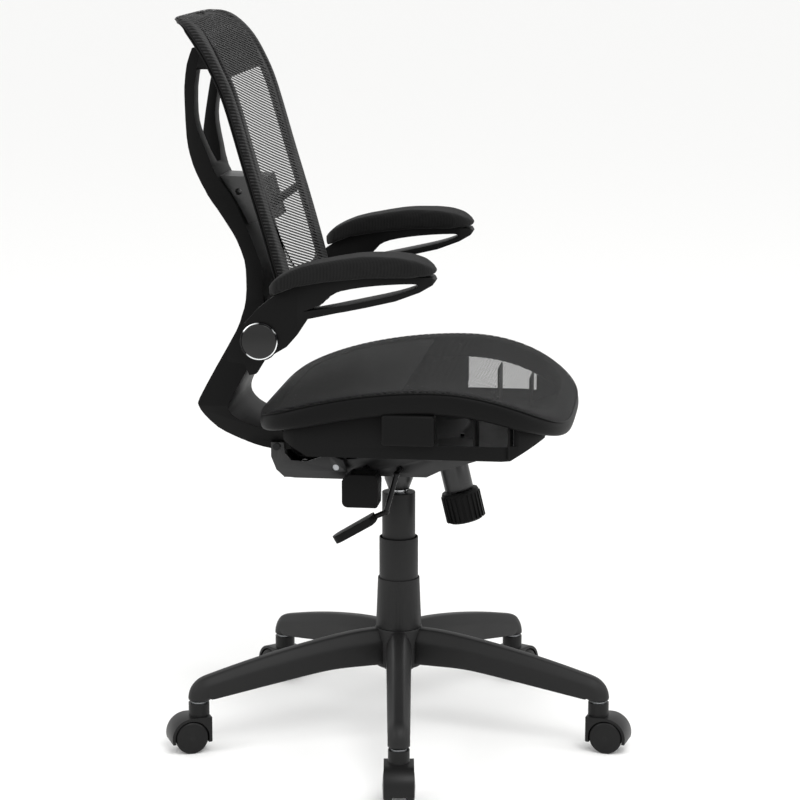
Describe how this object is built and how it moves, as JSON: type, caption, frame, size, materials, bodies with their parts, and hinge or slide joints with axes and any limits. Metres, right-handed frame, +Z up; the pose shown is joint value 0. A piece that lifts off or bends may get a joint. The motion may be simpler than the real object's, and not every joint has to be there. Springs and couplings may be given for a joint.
{
  "type": "swivel office chair",
  "caption": "Swivel office chair with a mesh seat and back on a curved spine, flip-up padded arms, a tilt mechanism and a gas lift on a star base with twin-wheel casters.",
  "frame": {"origin": "on the floor, on the axis that the seat swivels about", "axes": "+X the way the sitter faces, +Y to the sitter's left, +Z up"},
  "size_m": [0.7058, 0.6996, 1.105],
  "materials": {
    "base_nylon": "fine moulded grain",
    "cover_plastic": "fine moulded grain",
    "moulded_plastic": "satin moulded",
    "grey_plastic": "satin moulded",
    "lever_plastic": "satin moulded",
    "knob_plastic": "ribbed, satin",
    "gloss_cap": "semi gloss",
    "acetal": "machined",
    "caster_hood": "satin moulded",
    "caster_wheel": "matt moulded tread",
    "black_steel": "powder coated",
    "black_bolt": "black oxide",
    "zinc_steel": "zinc plated",
    "bright_steel": "polished",
    "spring_steel": "oiled wire",
    "chrome_trim": "bright plated",
    "seat_fabric": "open woven mesh",
    "back_fabric": "open woven mesh",
    "pad_fabric": "knitted cover"
  },
  "bodies": {
    "base": {"star_base": "base_nylon", "caster_stems": "zinc_steel", "gas_outer_tube": "black_steel", "guide_bushing": "acetal", "thrust_bearing": "zinc_steel", "lower_cover": "cover_plastic"},
    "mid_cover": {"mid_cover": "cover_plastic"},
    "piston": {"piston_rod": "bright_steel"},
    "lift": {"pressure_cylinder": "bright_steel", "release_pin": "bright_steel", "top_cover": "cover_plastic", "mechanism_housing": "black_steel", "tilt_axle": "zinc_steel", "tension_spring": "spring_steel", "tension_bolt": "zinc_steel"},
    "tension_knob": {"tension_knob": "knob_plastic"},
    "lift_lever": {"lift_lever_rod": "bright_steel", "lift_lever_paddle": "lever_plastic"},
    "tilt_lock": {"tilt_lock_lever": "lever_plastic"},
    "seat": {"seat_plate": "black_steel", "seat_carrier": "moulded_plastic", "seat_frame": "moulded_plastic", "seat_mesh": "seat_fabric", "seat_bolts": "black_bolt", "recline_pin": "zinc_steel"},
    "recline_lever": {"recline_lever": "lever_plastic"},
    "back": {"back_bracket": "black_steel", "back_bolts": "black_bolt", "spine_frame": "moulded_plastic", "back_frame": "moulded_plastic", "back_mesh": "back_fabric", "upper_mounts": "moulded_plastic", "lumbar_bracket": "grey_plastic", "arm_pins": "zinc_steel"},
    "right_arm": {"right_arm_frame": "moulded_plastic", "right_arm_pad": "pad_fabric", "right_pivot_cap": "gloss_cap", "right_chrome_ring": "chrome_trim"},
    "left_arm": {"left_arm_frame": "moulded_plastic", "left_arm_pad": "pad_fabric", "left_pivot_cap": "gloss_cap", "left_chrome_ring": "chrome_trim"},
    "caster1": {"caster1_housing": "caster_hood"},
    "caster1_wheel_a": {"caster1_wheel_a": "caster_wheel"},
    "caster1_wheel_b": {"caster1_wheel_b": "caster_wheel"},
    "caster2": {"caster2_housing": "caster_hood"},
    "caster2_wheel_a": {"caster2_wheel_a": "caster_wheel"},
    "caster2_wheel_b": {"caster2_wheel_b": "caster_wheel"},
    "caster3": {"caster3_housing": "caster_hood"},
    "caster3_wheel_a": {"caster3_wheel_a": "caster_wheel"},
    "caster3_wheel_b": {"caster3_wheel_b": "caster_wheel"},
    "caster4": {"caster4_housing": "caster_hood"},
    "caster4_wheel_a": {"caster4_wheel_a": "caster_wheel"},
    "caster4_wheel_b": {"caster4_wheel_b": "caster_wheel"},
    "caster5": {"caster5_housing": "caster_hood"},
    "caster5_wheel_a": {"caster5_wheel_a": "caster_wheel"},
    "caster5_wheel_b": {"caster5_wheel_b": "caster_wheel"}
  },
  "joints": [
    {"name": "mid_cover_slide", "type": "slide", "parent": "base", "child": "mid_cover", "axis": [0, 0, 1], "range_m": [-0.043, 0.008]},
    {"name": "seat_swivel", "type": "hinge", "parent": "base", "child": "piston", "pos_m": [0, 0, 0.11], "axis": [0, 0, 1], "continuous": true},
    {"name": "height_slide", "type": "slide", "parent": "piston", "child": "lift", "axis": [0, 0, 1], "range_m": [-0.085, 0.015]},
    {"name": "tension_knob_turn", "type": "hinge", "parent": "lift", "child": "tension_knob", "pos_m": [0.094, 0, 0.386], "axis": [-0.2317, 0, 0.9728], "range_deg": [-360, 360]},
    {"name": "lift_lever", "type": "hinge", "parent": "lift", "child": "lift_lever", "pos_m": [0.008, -0.05, 0.428], "axis": [0, 1, 0], "range_deg": [0, 6]},
    {"name": "tilt_lock", "type": "hinge", "parent": "lift", "child": "tilt_lock", "pos_m": [-0.043, -0.1, 0.428], "axis": [0, 1, 0], "range_deg": [0, 15]},
    {"name": "rock_tilt", "type": "hinge", "parent": "lift", "child": "seat", "pos_m": [0.06, 0, 0.454], "axis": [0, -1, 0], "range_deg": [0, 10], "stiffness_Nm_per_rad": 150, "springref_deg": -17.19},
    {"name": "recline_lever", "type": "hinge", "parent": "back", "child": "recline_lever", "pos_m": [-0.15, 0.1, 0.424], "axis": [0, 1, 0], "range_deg": [0, 12]},
    {"name": "back_recline", "type": "hinge", "parent": "seat", "child": "back", "pos_m": [-0.088, 0, 0.43], "axis": [0, -1, 0], "range_deg": [0, 18]},
    {"name": "right_arm_flip", "type": "hinge", "parent": "back", "child": "right_arm", "pos_m": [-0.165, -0.262, 0.66], "axis": [0, -1, 0], "range_deg": [0, 85]},
    {"name": "left_arm_flip", "type": "hinge", "parent": "back", "child": "left_arm", "pos_m": [-0.165, 0.262, 0.66], "axis": [0, -1, 0], "range_deg": [0, 85]},
    {"name": "caster1_swivel", "type": "hinge", "parent": "base", "child": "caster1", "pos_m": [0.04122, -0.31733, 0.06], "axis": [0, 0, 1], "continuous": true},
    {"name": "caster1_roll_a", "type": "hinge", "parent": "caster1", "child": "caster1_wheel_a", "pos_m": [0.04328, -0.3332, 0.025], "axis": [0.9917, 0.1288, 0], "continuous": true},
    {"name": "caster1_roll_b", "type": "hinge", "parent": "caster1", "child": "caster1_wheel_b", "pos_m": [0.04328, -0.3332, 0.025], "axis": [0.9917, 0.1288, 0], "continuous": true},
    {"name": "caster2_swivel", "type": "hinge", "parent": "base", "child": "caster2", "pos_m": [0.31454, -0.05886, 0.06], "axis": [0, 0, 1], "continuous": true},
    {"name": "caster2_roll_a", "type": "hinge", "parent": "caster2", "child": "caster2_wheel_a", "pos_m": [0.33027, -0.06181, 0.025], "axis": [0.184, 0.9829, 0], "continuous": true},
    {"name": "caster2_roll_b", "type": "hinge", "parent": "caster2", "child": "caster2_wheel_b", "pos_m": [0.33027, -0.06181, 0.025], "axis": [0.184, 0.9829, 0], "continuous": true},
    {"name": "caster3_swivel", "type": "hinge", "parent": "base", "child": "caster3", "pos_m": [0.15318, 0.28096, 0.06], "axis": [0, 0, 1], "continuous": true},
    {"name": "caster3_roll_a", "type": "hinge", "parent": "caster3", "child": "caster3_wheel_a", "pos_m": [0.16084, 0.295, 0.025], "axis": [-0.878, 0.4787, 0], "continuous": true},
    {"name": "caster3_roll_b", "type": "hinge", "parent": "caster3", "child": "caster3_wheel_b", "pos_m": [0.16084, 0.295, 0.025], "axis": [-0.878, 0.4787, 0], "continuous": true},
    {"name": "caster4_swivel", "type": "hinge", "parent": "base", "child": "caster4", "pos_m": [-0.21987, 0.2325, 0.06], "axis": [0, 0, 1], "continuous": true},
    {"name": "caster4_roll_a", "type": "hinge", "parent": "caster4", "child": "caster4_wheel_a", "pos_m": [-0.23086, 0.24413, 0.025], "axis": [-0.7266, -0.6871, 0], "continuous": true},
    {"name": "caster4_roll_b", "type": "hinge", "parent": "caster4", "child": "caster4_wheel_b", "pos_m": [-0.23086, 0.24413, 0.025], "axis": [-0.7266, -0.6871, 0], "continuous": true},
    {"name": "caster5_swivel", "type": "hinge", "parent": "base", "child": "caster5", "pos_m": [-0.28907, -0.13726, 0.06], "axis": [0, 0, 1], "continuous": true},
    {"name": "caster5_roll_a", "type": "hinge", "parent": "caster5", "child": "caster5_wheel_a", "pos_m": [-0.30352, -0.14412, 0.025], "axis": [0.4289, -0.9033, 0], "continuous": true},
    {"name": "caster5_roll_b", "type": "hinge", "parent": "caster5", "child": "caster5_wheel_b", "pos_m": [-0.30352, -0.14412, 0.025], "axis": [0.4289, -0.9033, 0], "continuous": true}
  ],
  "couplings": [
    {"joint": "mid_cover_slide", "follows": "height_slide", "ratio": 0.5}
  ]
}
